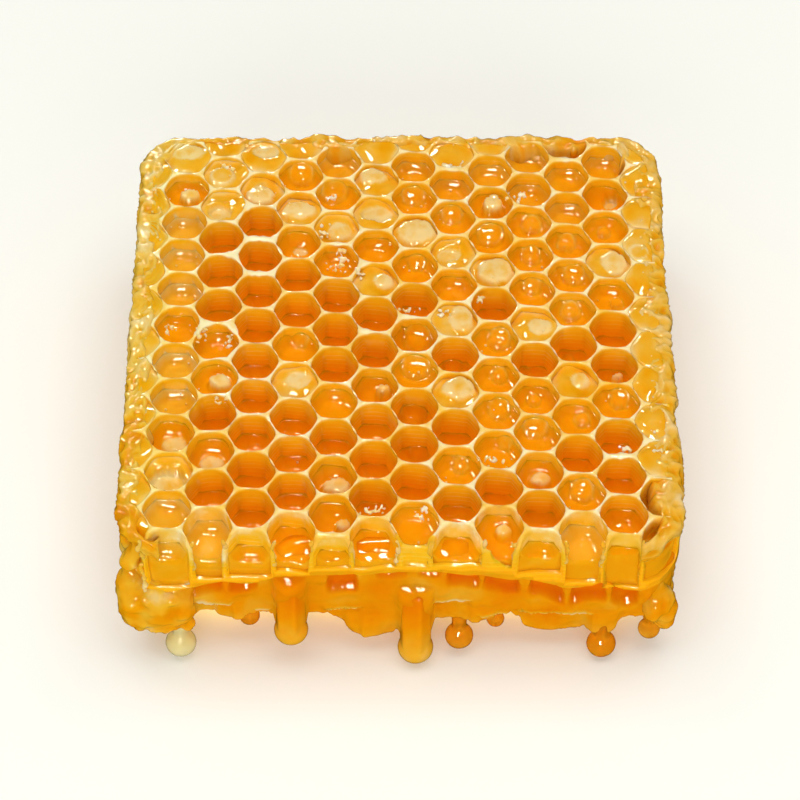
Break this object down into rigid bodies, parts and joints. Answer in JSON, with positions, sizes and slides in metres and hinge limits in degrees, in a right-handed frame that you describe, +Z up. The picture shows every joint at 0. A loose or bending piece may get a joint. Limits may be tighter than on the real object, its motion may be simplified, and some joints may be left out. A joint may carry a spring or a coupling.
{
  "type": "honeycomb piece",
  "caption": "Cut square of honeycomb, two layers of hexagonal wax cells back to back filled with honey, with honey drops hanging from its front edge.",
  "frame": {"origin": "under the middle of the piece with its drops, on the surface it lies on", "axes": "+X to the right along the front edge where the drops hang, +Y to the back, +Z up through the open cells"},
  "size_m": [0.0653, 0.065, 0.0227],
  "materials": {
    "wax": "translucent beeswax wet with honey",
    "honey": "clear amber honey, glossy"
  },
  "bodies": {
    "root": {"comb": "wax", "drop_1": "honey", "drop_2": "honey", "drop_3": "honey", "drop_4": "honey", "drop_5": "honey", "drop_6": "honey", "drop_7": "honey", "drop_8": "honey"}
  },
  "joints": []
}
